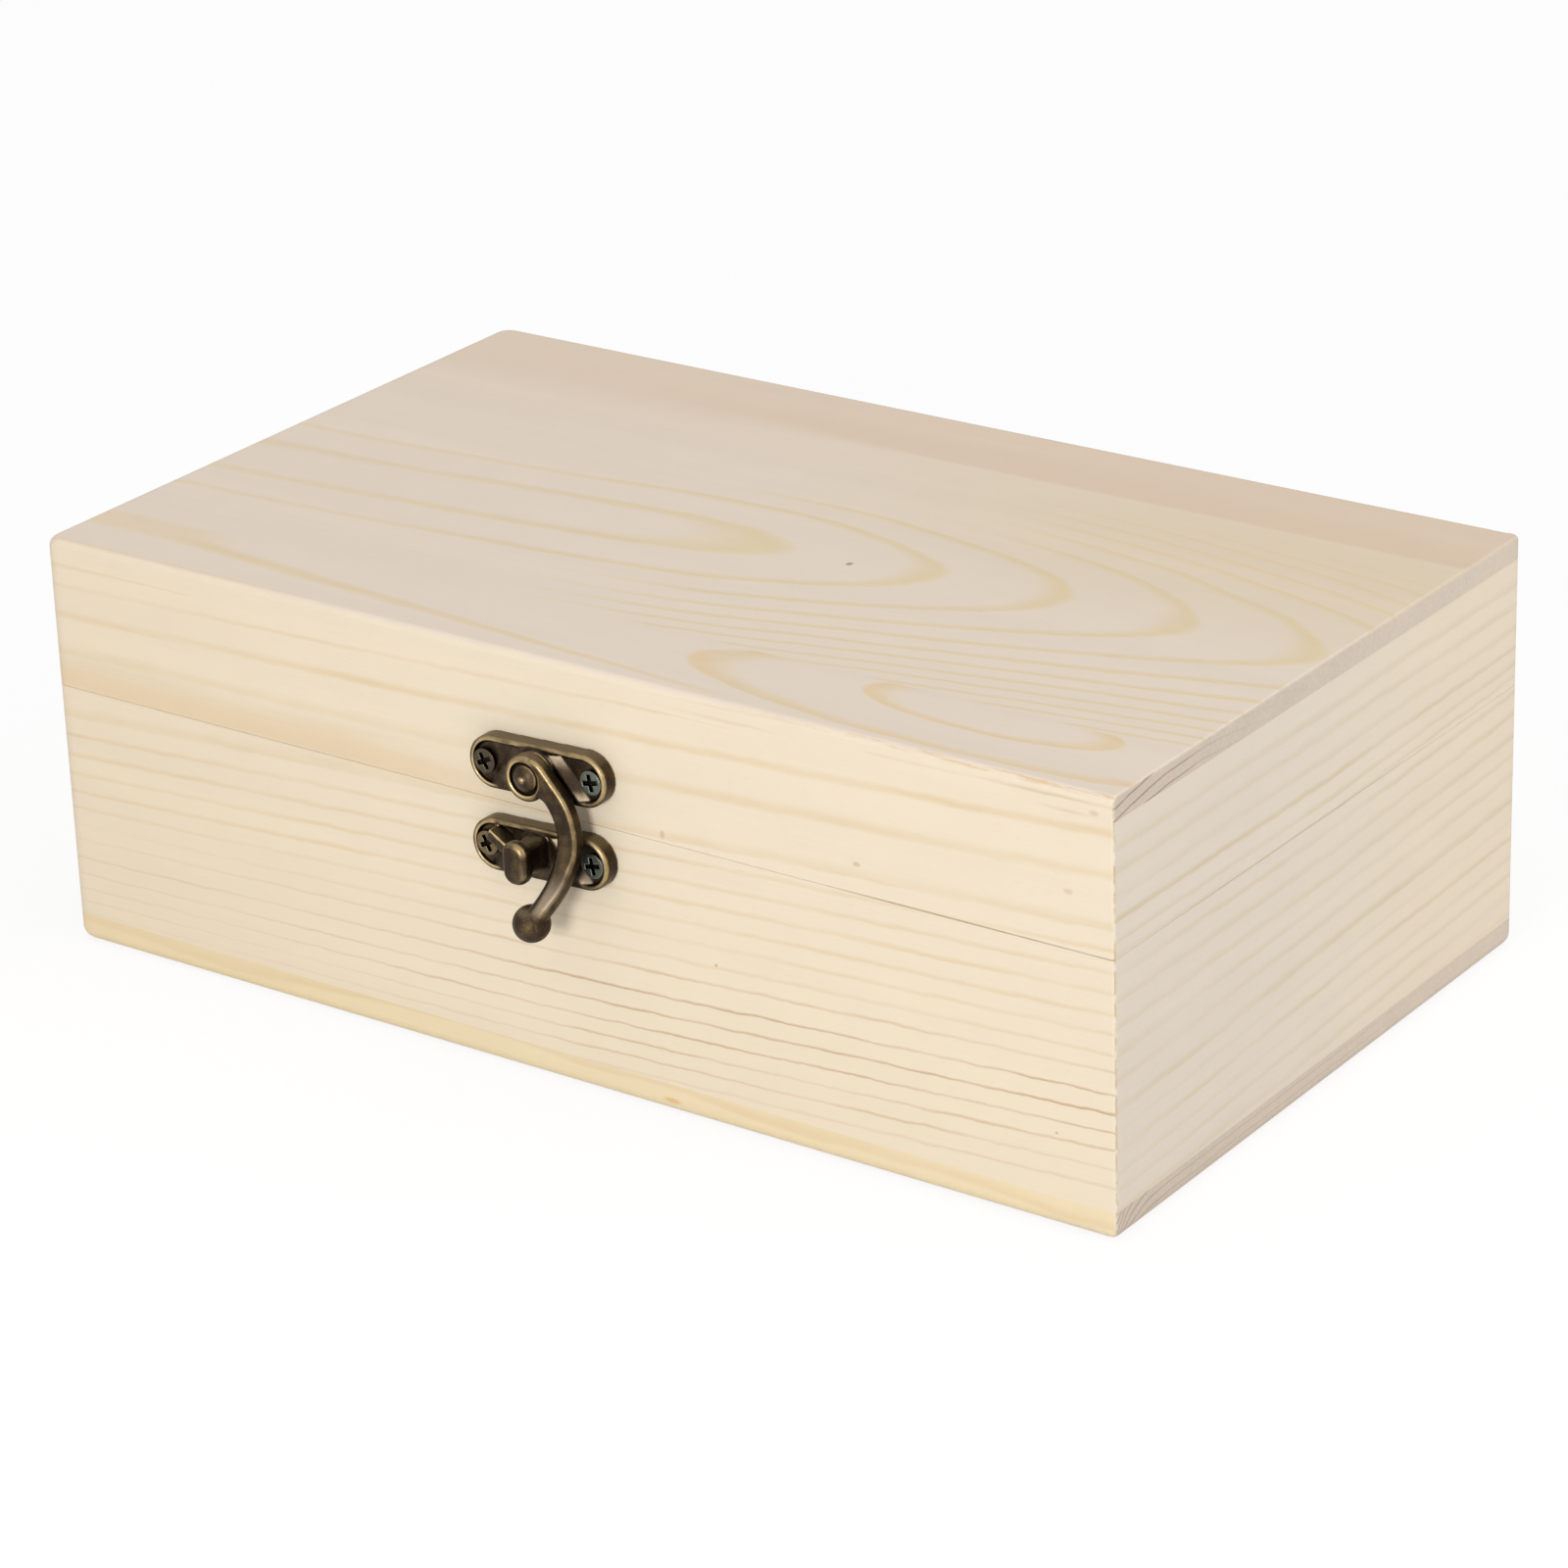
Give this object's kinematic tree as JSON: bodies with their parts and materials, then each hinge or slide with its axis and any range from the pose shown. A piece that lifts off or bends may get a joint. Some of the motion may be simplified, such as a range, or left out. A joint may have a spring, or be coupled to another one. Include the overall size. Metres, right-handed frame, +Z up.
{
  "type": "wooden money box",
  "caption": "Rectangular pine box with a hinged lid, mitred walls, glued panels and a swing-hook latch of antique brass, for keeping money and small things.",
  "frame": {"origin": "centre of the box's underside", "axes": "+X to the right along the box's length, +Y from the latch at the front to the hinges at the back, +Z up"},
  "size_m": [0.2, 0.1349, 0.07],
  "materials": {
    "pine": "raw sanded pine with fine straight and arched grain, matt",
    "antique_brass": "dark antique patina, bright where the edges are worn",
    "screw_steel": "dull zinc with a brownish tarnish"
  },
  "bodies": {
    "base": {"bottom_panel": "pine", "base_front_wall": "pine", "base_back_wall": "pine", "base_left_wall": "pine", "base_right_wall": "pine", "catch_plate": "antique_brass", "catch_plate_screw_left": "screw_steel", "catch_plate_screw_right": "screw_steel", "left_hinge_base_leaf": "antique_brass", "left_hinge_pin": "antique_brass", "left_hinge_base_screws": "screw_steel", "right_hinge_base_leaf": "antique_brass", "right_hinge_pin": "antique_brass", "right_hinge_base_screws": "screw_steel"},
    "lid": {"top_panel": "pine", "lid_front_wall": "pine", "lid_back_wall": "pine", "lid_left_wall": "pine", "lid_right_wall": "pine", "latch_plate": "antique_brass", "latch_plate_screw_left": "screw_steel", "latch_plate_screw_right": "screw_steel", "latch_rivet": "antique_brass", "left_hinge_lid_leaf": "antique_brass", "left_hinge_lid_screws": "screw_steel", "right_hinge_lid_leaf": "antique_brass", "right_hinge_lid_screws": "screw_steel"},
    "hook": {"latch_hook": "antique_brass"}
  },
  "joints": [
    {"name": "lid_hinge", "type": "hinge", "parent": "base", "child": "lid", "pos_m": [0, 0.0619, 0.04503], "axis": [-1, 0, 0], "range_deg": [0, 180]},
    {"name": "hook_swing", "type": "hinge", "parent": "lid", "child": "hook", "pos_m": [0.0002, -0.06, 0.0527], "axis": [0, -1, 0], "range_deg": [-9, 180]}
  ]
}
